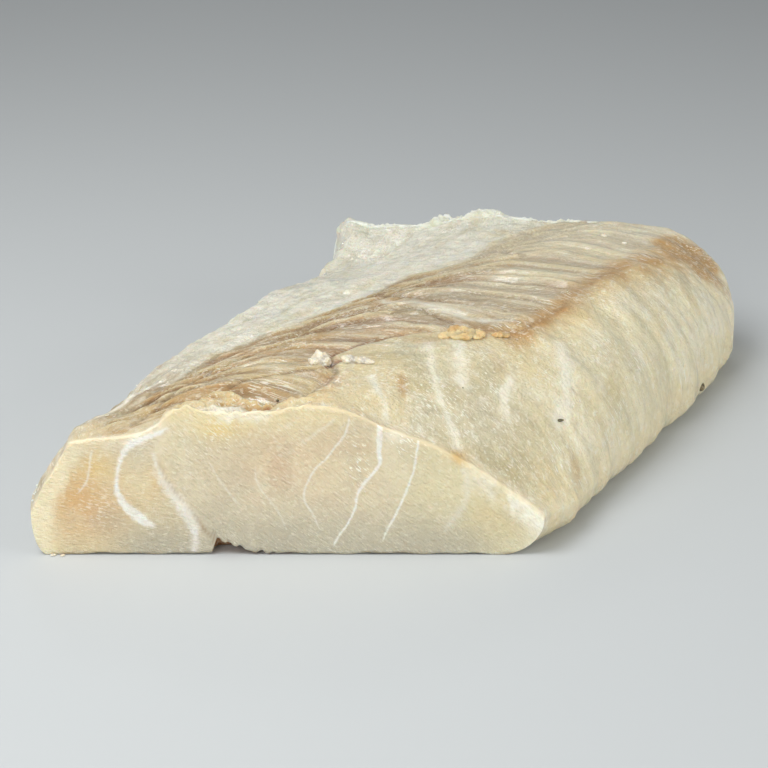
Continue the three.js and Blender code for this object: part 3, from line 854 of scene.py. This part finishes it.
class Skin:
    """Points of the loin's skin with their tint, grain, marks and finish, gathered part by part.

    The grain is the place across and along the fibres.
    The marks are the signed distance to a white wall, its strength, and how streaky the flesh is.
    The finish is how many glints it has, how crinkled it is, and half the wall's width.
    """

    def __init__(self):
        self.points = []
        self.fields = []
        self.count = 0

    def add(self, points, *fields):
        """Adds an array of points with its fields and returns the points' numbers."""
        self.points.append(points.reshape(-1, 3))
        self.fields.append([field.reshape(-1, 3) for field in fields])
        first = self.count
        self.count += len(self.points[-1])
        return np.arange(first, self.count).reshape(points.shape[:-1])

    def gathered(self):
        """All the points, and their fields as attributes of the mesh."""
        points = np.vstack(self.points)
        tint, grain, marks, finish = [np.vstack(field) for field in zip(*self.fields)]
        x, y, z = points.T
        # The walls of the torn notch are browned: partly their own browned flesh, partly painted shade inside
        # the notch
        in_notch = (y > 0.05) & (y < 8) & (x > -34.4) & (x < -18) & (z < 3.6)
        tint[in_notch] = NOTCH_GOLD
        tint = np.hstack([tint, np.ones((len(points), 1))])
        return points, {"tint": tint, "grain": grain, "marks": marks, "finish": finish}


# A distance so far from any white wall that none is drawn
NO_WALL = 9


def upper_fields(u):
    """Tint, grain, marks and finish of the upper side. Fibres are calm where two regions meet."""
    on_back, on_slope = u.brown > 0.5, u.slope > 0.5
    number = np.where(on_slope, u.fan, np.where(on_back, u.number, u.flake))
    length = np.where(on_slope, u.y, np.where(on_back, u.x + u.y, -u.from_right))
    calm = ease(np.abs(u.brown - 0.5), 0.05, 0.3) * ease(np.abs(u.slope - 0.5), 0.05, 0.3) * ease(u.y, 0, 0.8)
    streaky = mix(mix(0.45, 0.8, u.brown), 0.45, u.slope) * calm
    glints = mix(0.9, 1.1, u.slope) + 0.6 * ease(u.from_left, 8, 1)
    glints = glints * (0.7 + 0.8 * noise(u.at, 7, 77)) * calm
    crinkle = mix(mix(1.0, 0.7, u.brown), 0.8, u.slope) * ease(u.y, 0, 0.8)
    return paint_upper(u), joined(number, length, 0), joined(NO_WALL, 0, streaky), joined(glints, crinkle, 0)


def sliced_fields(tint, place, z, apart, force, streaky, glints, crinkle):
    """Fields of flesh sliced across, with the near cut's fibres and white walls.

    apart is the third place of the grain, which sets its noise apart from other sides'.
    """
    across, length = cut_grain(place, z)
    signed, half, strength = septum_fields(place, z)
    marks = joined(signed, force * strength, streaky)
    return tint, joined(across, length, apart), marks, joined(glints, crinkle, half)


def far_wall_fields(grid, s):
    """Fields of the far end: the upper side's colours, fading down to plain flesh except round the corner.

    Its fibres and white walls are those of the near cut at the same share across.
    """
    x, y, z = np.moveaxis(grid, -1, 0)
    depth = grid[-1, :, 2] - z
    body = ease(depth, 0.02, 0.4)
    plain = ease(depth, 0.5, 6) * ease(s, 0.94, 0.78)
    flesh = Tint(FAR_FLESH, x).lay(IVORY, patch((x, y, z), 7, 87, -0.3, 0.3))
    tint = Tint(paint_upper(Upper(x, y, z, s + 0 * x)), x).lay(flesh.rgb, plain * 0.9)
    place = mix(CUT_LEFT, CUT_RIGHT, s) + 0 * x
    return sliced_fields(tint.rgb, place, z, 80, 0.6 * plain, 0.4 * body, 0.3 * body, 0.5 * body)


def cut_fields(grid):
    """Fields of the near cut, whose last rows and whose seam have neither fibres nor glints."""
    x, y, z = np.moveaxis(grid, -1, 0)
    depth = grid[-1, :, 2] - z
    calm = ease(beside(LOBE_SEAM, x, z)[0], 0.4, 1.2) * ease(depth, 0.02, 0.4)
    tint = paint_cut(x, z, depth, (x, y, z))
    return sliced_fields(tint, x, z, 40, 1, 0.5 * calm, spark_share(x, z) * calm, 0.3 * calm)


def loin_mesh():
    """Points, faces and attributes of the whole loin, as one closed skin.

    The upper side is a grid over the plan, pushed out by its relief. The two ends are walls
    between its edge rows and the underside, whose rings shrink towards one flat face.
    """
    skin = Skin()
    across, along = shares(ACROSS, 0.72), shares(ALONG, 0.45)
    s, t = np.meshgrid(across, along)
    x, y, z = on_plan(s, t, top_height)
    upper = Upper(x, y, z, s)
    top = along_normal(joined(x, y, z), upper.relief())
    top[..., 1] = mix(y, top[..., 1], ease(y, 0, 3))
    # The round upper edge of the cut: the skin stands back there, less and less further on
    back = cut_round(x[0])
    top[..., 1] += back * np.exp(-y / (1.67 * back))
    top_index = skin.add(top, *upper_fields(upper))

    def wall(row, rows, share):
        """Grid from the underside up to one end row of the upper side, closed at both sides."""
        foot = joined(*on_plan(across, np.full_like(across, share), base_height))
        rise = np.concatenate([np.linspace(0, 0.9, rows), LAST_RISES])
        grid = mix(foot, top[row], rise[:, None, None])
        if row == 0:
            # The face comes forward below it as the square of the height that is left
            below = np.clip(1 - (top[0, :, 2] - grid[..., 2]) / (1.9 * back), 0, 1)
            grid[..., 1] = back * below ** 2
        fields = cut_fields(grid) if row == 0 else far_wall_fields(grid, across)
        index = np.vstack([skin.add(grid, *fields), top_index[row]])
        index[:, 0], index[:, -1] = top_index[row, 0], top_index[row, -1]
        return index

    near, far = wall(0, NEAR_ROWS, 0.0), wall(-1, FAR_ROWS, 1.0)
    outer = np.concatenate([near[0], top_index[1:-1, -1], far[0][::-1], top_index[1:-1, 0][::-1]])
    rim = np.concatenate([
        joined(across, 0.0), joined(1.0, along[1:-1]), joined(across[::-1], 1.0), joined(0.0, along[-2:0:-1]),
    ])
    rings = [outer]
    for inset in RING_INSETS:
        s, t = mix(0.5, rim, 1 - 2 * inset).T
        x, y, z = on_plan(s, t, base_height)
        ring = joined(x, y, z)
        along_ring = np.roll(ring, -1, 0) - np.roll(ring, 1, 0)
        outward = joined(along_ring[:, 1], -along_ring[:, 0])
        outward /= np.linalg.norm(outward, axis=1, keepdims=True) + 1e-9
        ring[:, :2] += outward * (foot_bumps(x, y) * ease(far_edge(s) - y, 0, 6))[:, None]
        rings.append(skin.add(ring, *upper_fields(Upper(x, y, z, s))))
    rings = np.array(rings)
    looped = np.hstack([rings, rings[:, :1]])

    faces = quads(top_index) + quads(near) + quads(far[:, ::-1]) + quads(looped[:, ::-1])
    faces.append(rings[-1][::-1].tolist())
    points, attributes = skin.gathered()
    return points, faces, attributes


# ---------------------------------------------------------------- materials

class Sock:
    """A shader value. Arithmetic on it adds Math nodes to the tree that it belongs to."""

    def __init__(self, shader, socket):
        self.shader, self.socket = shader, socket

    def math(self, operation, *values):
        """A Math node of that operation."""
        return self.shader.node("ShaderNodeMath", {"operation": operation}, *values)

    def __add__(self, other):
        return self.math("ADD", self, other)

    def __radd__(self, other):
        return self.math("ADD", other, self)

    def __sub__(self, other):
        return self.math("SUBTRACT", self, other)

    def __rsub__(self, other):
        return self.math("SUBTRACT", other, self)

    def __mul__(self, other):
        return self.math("MULTIPLY", self, other)

    def __rmul__(self, other):
        return self.math("MULTIPLY", other, self)

    def __abs__(self):
        return self.math("ABSOLUTE", self)

    def ease(self, low, high):
        """0 below low and 1 above high, smooth between."""
        ends = {"From Min": low, "From Max": high}
        settings = {"interpolation_type": "SMOOTHSTEP"}
        return self.shader.node("ShaderNodeMapRange", settings, Value=self, **ends)


# Numbers of the Mix node's two colour inputs and its colour output
MIX_COLOURS, MIX_OUT = (6, 7), 2


class Shader:
    """One material with a Principled surface, built node by node."""

    def __init__(self, name):
        self.material = bpy.data.materials.new(name)
        self.material.use_nodes = True
        self.tree = self.material.node_tree
        self.surface = next(n for n in self.tree.nodes if n.type == "BSDF_PRINCIPLED")

    def node(self, kind, settings, *values, output=0, **named):
        """Adds a node of a type, with its settings first and then its sockets' values or links."""
        node = self.tree.nodes.new(kind)
        for key, value in settings.items():
            setattr(node, key, value)
        for socket, value in zip(node.inputs, values):
            self.feed(socket, value)
        for key, value in named.items():
            self.feed(node.inputs[key], value)
        return Sock(self, node.outputs[output])

    def feed(self, socket, value):
        """Links a shader value to a socket, or sets the socket to a number, a vector or an array's colour."""
        if isinstance(value, Sock):
            self.tree.links.new(value.socket, socket)
        else:
            socket.default_value = (*value.tolist(), 1.0) if isinstance(value, np.ndarray) else value

    def place(self):
        """The point's place in its object, in metres."""
        return self.node("ShaderNodeTexCoord", {}, output="Object")

    def field(self, name, output="Vector"):
        """An attribute of the mesh."""
        return self.node("ShaderNodeAttribute", {"attribute_name": name}, output=output)

    def parts(self, vector):
        """The three numbers of a vector."""
        split = self.node("ShaderNodeSeparateXYZ", {}, vector)
        return [Sock(self, out) for out in split.socket.node.outputs]

    def noise(self, vector, scale, detail=2.0, roughness=0.5):
        """Noise texture read at the vector, with so many octaves of detail."""
        settings = {"Vector": vector, "Scale": scale, "Detail": detail, "Roughness": roughness}
        return self.node("ShaderNodeTexNoise", {}, **settings)

    def stretched(self, vector, scale):
        """The vector times a number along each of its axes."""
        return self.node("ShaderNodeVectorMath", {"operation": "MULTIPLY"}, vector, scale)

    def blend(self, under, over, share):
        """Lays one colour over another, with the Mix node's sockets for colours."""
        mixer = self.node("ShaderNodeMix", {"data_type": "RGBA"}, share, output=MIX_OUT)
        for index, value in zip(MIX_COLOURS, (under, over)):
            self.feed(mixer.socket.node.inputs[index], value)
        return mixer

    def finish(self, **inputs):
        """Feeds the surface's inputs, named with _ for each space, and returns the material."""
        for key, value in inputs.items():
            self.feed(self.surface.inputs[key.replace("_", " ")], value)
        return self.material


FLESH_IOR, WATER_IOR = 1.38, 1.33


def moist(shader, **inputs):
    """Shared finish of wet flesh: light scatters a few millimetres in, red furthest, under a wet film."""
    return shader.finish(
        Subsurface_Weight=0.4, Subsurface_Radius=(1.0, 0.62, 0.36), Subsurface_Scale=2.5 * MM,
        IOR=FLESH_IOR, Coat_Roughness=0.12, Coat_IOR=WATER_IOR, **inputs)


def flesh_material():
    """Flesh of the loin: painted tint, fibres along the grain, white walls, painted glints of white dashes
    and dots, and wet relief.
    """
    shader = Shader("moist_cod_flesh")
    place = shader.place()
    tint = shader.field("tint", "Color")
    grain = shader.field("grain")
    septum, strength, streaky = shader.parts(shader.field("marks"))
    glints, crinkle, half = shader.parts(shader.field("finish"))

    fibres = shader.noise(shader.stretched(grain, (2.4, 0.45, 1.0)), 1.0, 3.0, 0.6)
    dashes = shader.noise(shader.stretched(grain, (3.2, 0.8, 1.0)), 1.0, 1.0, 0.5)
    patches = shader.noise(place, 130.0, 2.0)
    grit = shader.noise(place, 1500.0, 2.0)
    flecks = shader.noise(place, 620.0, 3.0, 0.6)
    fine = shader.noise(place, 1100.0, 4.0, 0.65)
    cloud = shader.noise(place, 240.0, 3.0)

    base = shader.blend(tint, IVORY, fibres.ease(0.5, 0.72) * streaky * 0.5)
    base = shader.blend(base, SHADE * 0.8, (1 - fibres).ease(0.52, 0.74) * streaky * 0.5)
    base = shader.blend(base, SHADE * 0.85, (1 - flecks).ease(0.52, 0.7) * crinkle * 0.22)
    base = shader.blend(base, WHITE, flecks.ease(0.54, 0.68) * crinkle * 0.45)
    base = shader.blend(base, GREY, (1 - cloud).ease(0.5, 0.72) * 0.2)
    # Painted highlights: white glints laid into the base colour, as dashes along the grain and as fine dots
    sparks = (dashes + (patches - 0.5) * 0.3).ease(0.6, 0.66) * glints
    base = shader.blend(base, WHITE, sparks * 0.9)
    base = shader.blend(base, WHITE, grit.ease(0.66, 0.74) * glints * 0.4)
    swayed = abs(septum + (flecks - 0.5) * 1.1)
    wall = 1 - (swayed - half + (cloud - 0.5) * 0.8 + (fine - 0.5) * 1.0).ease(-0.4, 0.8)
    base = shader.blend(base, MILK, wall * strength * (0.4 + cloud))

    height = (fibres - 0.5) * streaky * 0.6 + (flecks - 0.5) * crinkle * 0.5 + (dashes - 0.5) * glints * 0.3
    height = height + cloud * 0.4 + (fine - 0.5) * (0.2 + crinkle * 1.1)
    normal = shader.node("ShaderNodeBump", {}, Strength=0.9, Distance=1.2 * MM, Height=height)
    return moist(shader, Base_Color=base, Normal=normal,
                 Roughness=0.34 + cloud * 0.2, Coat_Weight=0.15 + patches.ease(0.42, 0.65) * 0.5)


def clouded(name, scale, light, dark):
    """New shader whose base is clouded from a light to a dark tone: (shader, base, cloud)."""
    shader = Shader(name)
    cloud = shader.noise(shader.place(), scale, 3.0)
    return shader, shader.blend(light, dark, cloud.ease(0.4, 0.65)), cloud


def crumb_finish(shader, base, cloud, strength, depth, roughness, film):
    """Wet finish of a crumb over a relief of its own cloud, with a strength and a depth in metres."""
    normal = shader.node("ShaderNodeBump", {}, Strength=strength, Distance=depth, Height=cloud)
    return moist(shader, Base_Color=base, Normal=normal, Roughness=roughness + cloud * 0.2, Coat_Weight=film)


def curd_material():
    """Loose curds: cream, dusted with white grit."""
    shader, base, cloud = clouded("curd_white", 300.0, CURD, mix(CURD, CURD_SHADE, 0.8))
    grit = shader.noise(shader.place(), 1500.0, 2.0)
    base = shader.blend(base, WHITE, grit.ease(0.5, 0.65) * 0.35)
    return crumb_finish(shader, base, cloud, 0.35, 0.6 * MM, 0.3, 0.5)


def shred_material():
    """Torn flakes of the pale side: misty white."""
    return crumb_finish(*clouded("shred_white", 400.0, SHRED, SHRED_SHADE), 0.8, 1.0 * MM, 0.3, 0.5)


def scrap_material():
    """Golden scraps of dried skin."""
    return crumb_finish(*clouded("golden_scrap", 420.0, SCRAP, SCRAP_SHADE), 0.7, 0.8 * MM, 0.35, 0.4)


def speck_material():
    """Dark dry specks, mottled with olive brown."""
    shader = Shader("dark_speck")
    cloud = shader.noise(shader.place(), 900.0)
    base = shader.blend(SPECK, SPECK_LIGHT, cloud.ease(0.4, 0.6))
    return shader.finish(Base_Color=base, Roughness=0.5)


# ---------------------------------------------------------------- set

CRUMBS = 420
# Torn fringe: share across where it ends, points along each sheet and round its section
FRINGE_END = 0.72
FRINGE_COLUMNS, FRINGE_ROUND = 620, 14
FLOOR_REACH = 2.0
# Camera: place in the cut's frame, angle above the floor, lens and sensor in millimetres
EYE = (0.0, -364.2, 168.9)
EYE_LIFT = math.radians(20)
LENS, SENSOR = 93.75, 36.0
ROOM_TONE = (0.96, 0.975, 0.985, 1.0)
ROOM_POWER = 0.31
LAMP_AIM = (10, 50, 10)
LAMPS = [  # name, place in the cut's frame, size in metres, power, tone
    ("overhead", (-260, -120, 520), 0.4, 3.05, (1.0, 1.0, 1.0)),
    ("front_window", (-160, -700, 260), 0.5, 1.8, (1.0, 0.99, 0.96)),
    ("right_window", (640, -160, 150), 0.4, 2.4, (1.0, 0.99, 0.97)),
    ("far_lamp", (-150, 900, 520), 0.15, 0.4, (1.0, 1.0, 1.0)),
    ("near_lamp", (-260, -620, 420), 0.1, 0.4, (1.0, 1.0, 1.0)),
]


def build_loin():
    """The loin itself, in place of the plain solid."""
    points, faces, attributes = loin_mesh()
    piece = make_piece("cod_loin_flesh", points, faces, flesh_material(), attributes)
    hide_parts(NODE)


def on_top(x, y):
    """Points of the plain upper side above places of the plan."""
    s = np.clip((x - left_edge(y)) / (right_edge(y) - left_edge(y)), 0, 1)
    return joined(x, y, top_height(x, y, s))


def unit_ball(fineness):
    """Points and faces of a ball of radius 1: an icosahedron, its faces cut in four for each step above 1."""
    shell = bmesh.new()
    bmesh.ops.create_icosphere(shell, subdivisions=fineness, radius=1.0)
    points = np.array([v.co[:] for v in shell.verts])
    faces = np.array([[v.index for v in f.verts] for f in shell.faces])
    shell.free()
    return points, faces


def lumps(places, sizes, turns, seed, fineness):
    """Many uneven lumps as one mesh: balls stretched to their sizes, torn by noise, turned about Z."""
    ball, faces = unit_ball(fineness)
    places, sizes, turns = np.array(places, float), np.array(sizes, float), np.array(turns, float)
    # Each lump reads the noise at its own place
    own = np.arange(len(places))[:, None]
    shape = ball[None] * sizes[:, None, :]
    at = (shape[..., 0] + 5.3 * own, shape[..., 1], shape[..., 2])
    small = sizes.min(1)[:, None]
    torn = 0.5 * noise(at, 1.3, seed) + 0.25 * noise(at, 0.55, seed + 1) + 0.15 * noise(at, 0.28, seed + 2)
    shape = shape + ball[None] * (torn * np.minimum(small, 1.0))[..., None]
    x, y, z = np.moveaxis(shape, -1, 0)
    turned = joined(*rotated(x, y, turns[:, None]), z) + places[:, None, :]
    return turned.reshape(-1, 3), (faces[None] + len(ball) * own[..., None]).reshape(-1, 3).tolist()


def build_curds():
    """White curds: two torn clumps at the crack, and crumbs along the lip, the back and the foot."""
    placed = np.array([  # x, y, half sizes along three axes, lift
        (-13, 24.4, 2.1, 1.4, 1.7, 0.5), (-12.2, 23.4, 1.5, 1.2, 1.1, 0.4), (-14.2, 23.8, 1.3, 1, 1.1, 0.4),
        (-7, 23.4, 1.7, 1.2, 1, 0.4), (-5.2, 23.2, 2.2, 1.4, 0.9, 0.3), (-3.4, 22.4, 1.5, 1, 0.6, 0.2),
        (-31.8, 2.2, 2.2, 0.9, 0.5, -0.1), (-28.8, 2.8, 1.6, 0.9, 0.5, -0.1), (60, 117, 0.7, 0.7, 0.5, 0.2),
        (-66, -0.5, 0.7, 0.4, 0.25, 0), (-64.2, -0.7, 0.5, 0.3, 0.2, 0), (55.6, 124, 0.8, 0.8, 0.5, 0.1),
    ])
    points = on_top(*placed[:, :2].T)
    points[:, 2] += placed[:, 5]
    # Crumbs in front of the cut lie on the floor
    points[placed[:, 1] < 0, 2] = 0.2
    turns = np.linspace(-0.6, 0.6, len(placed))
    points, faces = lumps(points, placed[:, 2:5], turns, 61, 5)
    make_piece("torn_curds", points, faces, curd_material())


def fringe_height(s):
    """Height of the torn fringe at a share across: tall tufts, lower between, with a ragged top."""
    at = (70 * s, 0, 0)
    tufts = 0.5 * bell(s, 0.015, 0.02) + 2.2 * bell(s, 0.235, 0.03) + 2.0 * bell(s, 0.33, 0.05)
    tufts = tufts + 1.0 * bell(s, 0.5, 0.06) + 0.8 * bell(s, 0.13, 0.05) + 0.5
    ragged_top = 0.55 + 0.5 * noise(at, 2.2, 70) + 0.4 * noise(at, 0.9, 71) + 0.25 * noise(at, 0.4, 72)
    return np.maximum(tufts * ragged_top, 0.05) * ease(s, FRINGE_END, 0.6) + 0.05


def fringe_sheet(back, lean, seed):
    """Thin upright sheet along the far edge, as a closed loop of points at each share across.

    The loop goes up the front and down the back. Half its thickness is largest at the foot and
    falls to nothing at the top, and the sheet leans back and waves sideways.
    """
    s = np.linspace(0.001, FRINGE_END, FRINGE_COLUMNS)[:, None]
    turn = np.linspace(0, 2, FRINGE_ROUND + 1)[None, :-1]
    up = 1 - np.abs(turn - 1)
    face = np.where(turn < 1, -1.0, 1.0)
    y = far_edge(s) - back
    foot = on_top(mix(left_edge(y), right_edge(y), s), y)
    tall = fringe_height(s + 0.013 * seed)
    at = (90 * s, 3 * up, 0)
    thick = 0.3 * (1 - up ** 2)
    z = foot[..., 2] - 1.0 + (tall + 1.0) * up
    away = face * thick + lean * tall * up ** 2 + 0.5 * noise(at, 2.5, 73 + seed) * up
    side = 0.5 * noise(at, 1.6, 76 + seed) * up
    grid = joined(foot[..., 0] + side, foot[..., 1] + away, z)
    rows, around = grid.shape[:2]
    index = np.arange(rows * around).reshape(rows, around)
    faces = quads(np.hstack([index, index[:, :1]]))
    faces += [index[0].tolist(), index[-1][::-1].tolist()]
    return grid.reshape(-1, 3), faces


def build_fringe():
    """Three torn sheets one behind another along the far edge, and crumbs on the left edge."""
    parts = [fringe_sheet(0.4, 0.25, 0), fringe_sheet(1.4, 0.0, 1), fringe_sheet(2.6, -0.3, 2)]
    rng = np.random.default_rng(8)
    s, t = rng.uniform(0.002, 0.04, CRUMBS), rng.uniform(0.03, 1, CRUMBS) ** 1.3
    x, y, z = on_plan(s, t, top_height)
    size = rng.uniform(0.1, 0.24, (CRUMBS, 1)) * rng.uniform(0.7, 1.6, (CRUMBS, 3)) * (1.3, 1.3, 0.8)
    parts.append(lumps(joined(x, y, z), size, rng.uniform(-0.5, 0.5, CRUMBS), 64, 1))
    points, faces = [], []
    for some, of_them in parts:
        first = sum(len(q) for q in points)
        faces += [[v + first for v in face] for face in of_them]
        points.append(some)
    make_piece("torn_fringe", np.vstack(points), faces, shred_material())


def build_scraps():
    """Two golden scraps of dried skin lying where the flank's front meets the back."""
    placed = np.array([  # x, y, half sizes along three axes
        (16.2, 36.4, 3.2, 3.2, 1.2), (13.8, 36.8, 2.3, 2.4, 0.9), (18.8, 36.6, 2.4, 2.4, 0.9),
        (16.4, 34.6, 2.6, 1.8, 0.9), (24.3, 38.4, 1.6, 1.2, 0.6), (25.8, 38.6, 1.0, 0.9, 0.4),
    ])
    turns = np.linspace(-0.5, 0.5, len(placed))
    points, faces = lumps(on_top(*placed[:, :2].T), placed[:, 2:5], turns, 62, 5)
    make_piece("golden_scraps", points, faces, scrap_material())


def build_specks():
    """Dark specks pressed into the surface."""
    places = on_top(np.array([-21.2, 36.7, 16.0, 76.0]), np.array([8.2, 23.6, 18.1, 86.0]))
    # The last one sits low on the flank
    places[-1, 2] = 4.5
    sizes = [(0.3, 0.3, 0.2), (0.7, 0.5, 0.25), (0.25, 0.25, 0.2), (1.0, 1.4, 1.0)]
    points, faces = lumps(places, sizes, [0, 0.4, 0, 0], 63, 2)
    make_piece("dark_specks", points, faces, speck_material())


def build_floor():
    """Plain pale sheet that the loin lies on."""
    mesh = bpy.data.meshes.new("pale_floor")
    corners = [(-FLOOR_REACH, -FLOOR_REACH, 0), (FLOOR_REACH, -FLOOR_REACH, 0),
               (FLOOR_REACH, FLOOR_REACH, 0), (-FLOOR_REACH, FLOOR_REACH, 0)]
    mesh.from_pydata(corners, [], [(0, 1, 2, 3)])
    mesh.materials.append(Shader("pale_paper").finish(Base_Color=PAPER, Roughness=0.75))
    floor = bpy.data.objects.new("pale_floor", mesh)
    bpy.context.scene.collection.objects.link(floor)


def build_camera():
    """Camera square to the near cut, looking down at it."""
    camera = bpy.data.cameras.new("camera")
    camera.lens, camera.sensor_width = LENS, SENSOR
    camera.clip_start = 0.01
    eye = bpy.data.objects.new("camera", camera)
    eye.location = to_part(EYE)
    eye.rotation_euler = (math.pi / 2 - EYE_LIFT, 0.0, TURN)
    bpy.context.scene.collection.objects.link(eye)
    bpy.context.scene.camera = eye


def build_light(name, place, size, power, tone):
    """Square soft light at a place in the cut's frame, aimed at the loin."""
    light = bpy.data.lights.new(name, "AREA")
    light.size, light.energy, light.color = size, power, tone
    lamp = bpy.data.objects.new(name, light)
    lamp.location = to_part(place)
    aim = Vector(to_part(LAMP_AIM)) - lamp.location
    lamp.rotation_euler = aim.to_track_quat("-Z", "Y").to_euler()
    bpy.context.scene.collection.objects.link(lamp)


def build_lights():
    """Even pale light all round, a panel overhead, two windows and two small lamps."""
    world = bpy.data.worlds.new("soft_room")
    world.use_nodes = True
    backdrop = world.node_tree.nodes["Background"]
    backdrop.inputs["Color"].default_value = ROOM_TONE
    backdrop.inputs["Strength"].default_value = ROOM_POWER
    bpy.context.scene.world = world
    for lamp in LAMPS:
        build_light(*lamp)


bpy.context.scene.view_settings.view_transform = "Standard"
build_camera()
build_lights()
build_floor()
build_loin()
build_curds()
build_fringe()
build_scraps()
build_specks()
